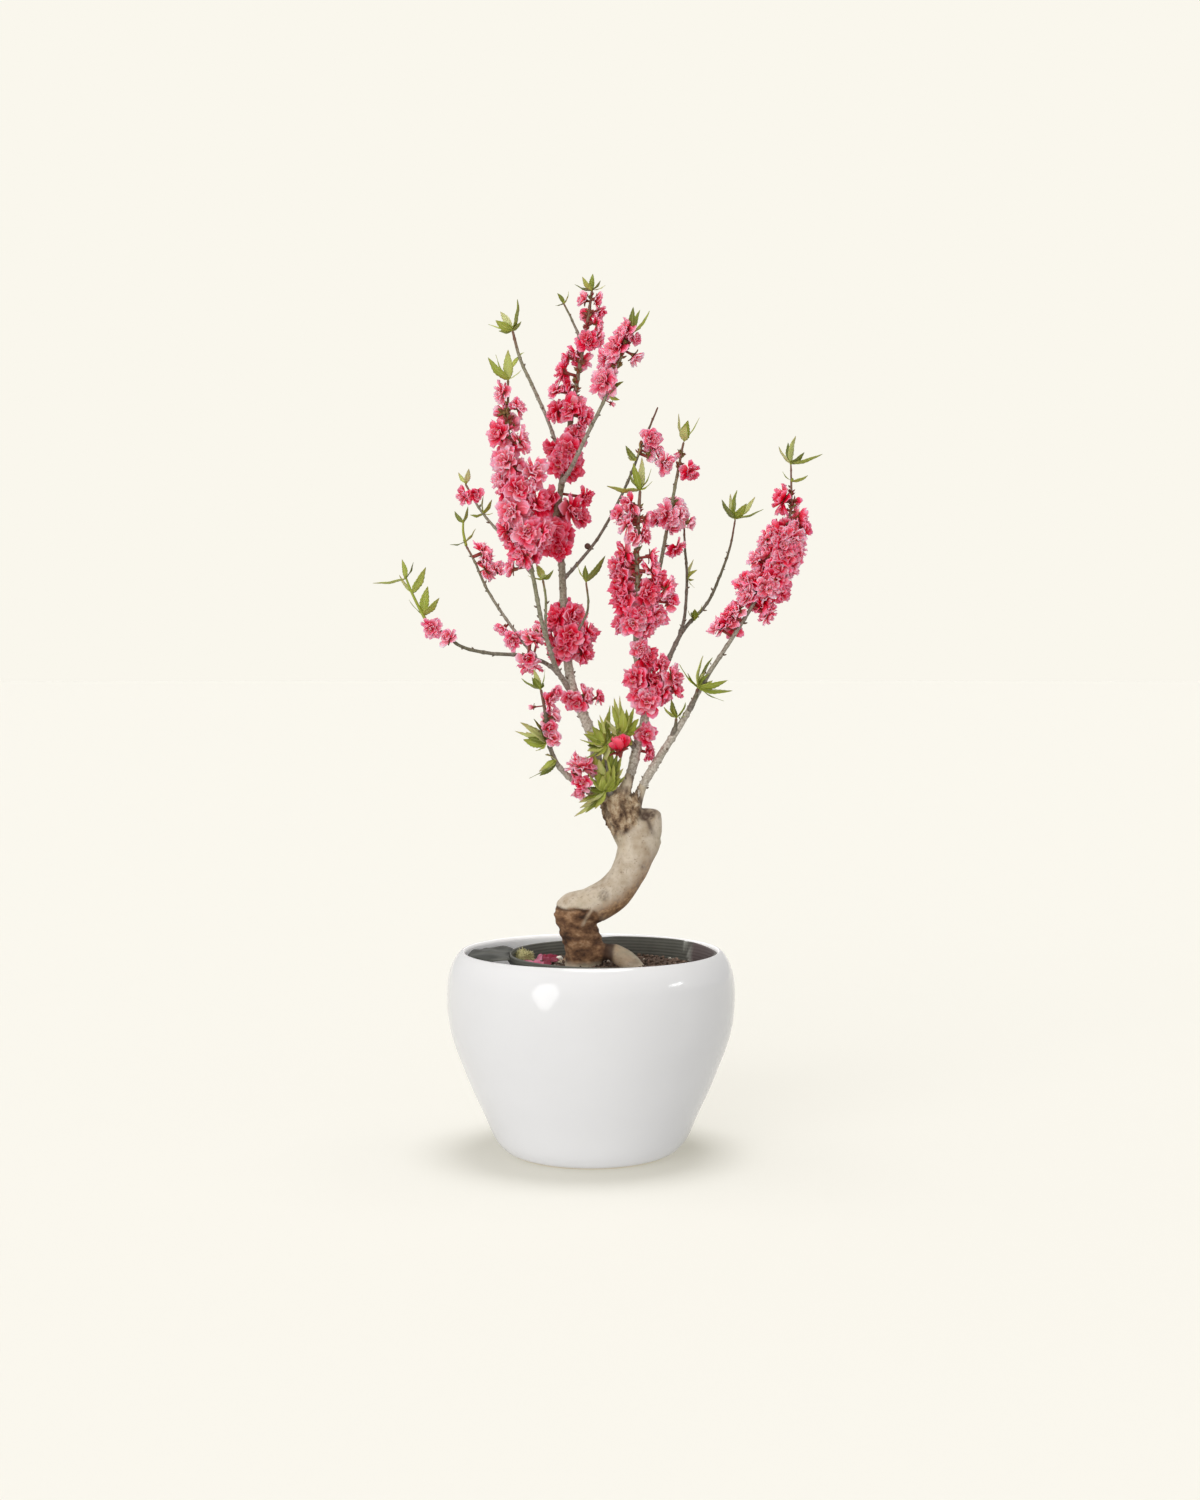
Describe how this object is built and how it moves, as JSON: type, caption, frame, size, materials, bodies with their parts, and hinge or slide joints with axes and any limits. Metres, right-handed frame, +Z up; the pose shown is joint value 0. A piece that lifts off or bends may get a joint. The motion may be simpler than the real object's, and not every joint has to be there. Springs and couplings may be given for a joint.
{
  "type": "potted flowering peach tree",
  "caption": "Small flowering peach with a thick bent trunk, upright twigs of double pink blooms and young leaves, standing in a round white glazed pot.",
  "frame": {"origin": "centre of the pot's flat base", "axes": "+Z up along the pot's axis, the viewer stands on the -Y side, +X to the viewer's right"},
  "size_m": [0.4585, 0.302, 0.9236],
  "materials": {
    "glaze": "white glossy glaze",
    "liner_plastic": "dark grey-green soft plastic",
    "soil": "dark brown crumbly potting mix",
    "bark": "grey-brown bark, rough and dark at the foot and the head",
    "petal_pink": "soft deep pink petals",
    "petal_pale": "soft paler pink petals",
    "leaf_green": "soft satin yellow-green leaf",
    "moss": "dull olive moss",
    "pebble": "dull off-white stone"
  },
  "bodies": {
    "root": {"tree_wood": "bark", "pot": "glaze", "liner": "liner_plastic", "soil": "soil", "pebble": "pebble", "moss_clump": "moss", "fallen_petals": "petal_pink", "bloom_left_column": "petal_pink", "bloom_centre_top": "petal_pink", "bloom_centre_mid": "petal_pink", "bloom_right_top": "petal_pale", "bloom_mid_left": "petal_pink", "bloom_arch_base": "petal_pink", "bloom_arch_tip": "petal_pale", "bloom_second_low": "petal_pale", "bloom_second_top": "petal_pink", "bloom_third": "petal_pink", "bloom_low_left": "petal_pink", "bloom_low_front": "petal_pink", "bloom_left_fork": "petal_pink", "bloom_low_mid": "petal_pink", "bloom_centre_low": "petal_pink", "bloom_centre": "petal_pink", "bloom_centre_high": "petal_pink", "bloom_long_twig": "petal_pale", "bloom_c": "petal_pale", "bloom_c_low": "petal_pink", "bloom_c_top": "petal_pink", "bloom_f_top": "petal_pink", "bloom_f": "petal_pink", "leaf_top": "leaf_green", "leaf_left_top": "leaf_green", "leaf_twig_top": "leaf_green", "leaf_twig_side": "leaf_green", "leaf_small_twig": "leaf_green", "leaf_right_top": "leaf_green", "leaf_right_mid": "leaf_green", "leaf_thin_twig": "leaf_green", "leaf_long_twig": "leaf_green", "leaf_third": "leaf_green", "leaf_third_top": "leaf_green", "leaf_low_left": "leaf_green", "leaf_low_mid": "leaf_green", "leaf_droop": "leaf_green", "leaf_bright": "leaf_green", "leaf_c_top": "leaf_green", "leaf_d": "leaf_green", "leaf_d_top": "leaf_green", "leaf_e_top": "leaf_green", "leaf_e_low": "leaf_green", "leaf_f_top": "leaf_green", "leaf_f_side": "leaf_green", "leaf_f_mid": "leaf_green", "leaf_f_low": "leaf_green", "leaf_column_foot": "leaf_green", "leaf_low_spur": "leaf_green", "leaf_front_spur": "leaf_green", "leaf_head": "leaf_green", "leaf_arch": "leaf_green", "leaf_second": "leaf_green"}
  },
  "joints": []
}
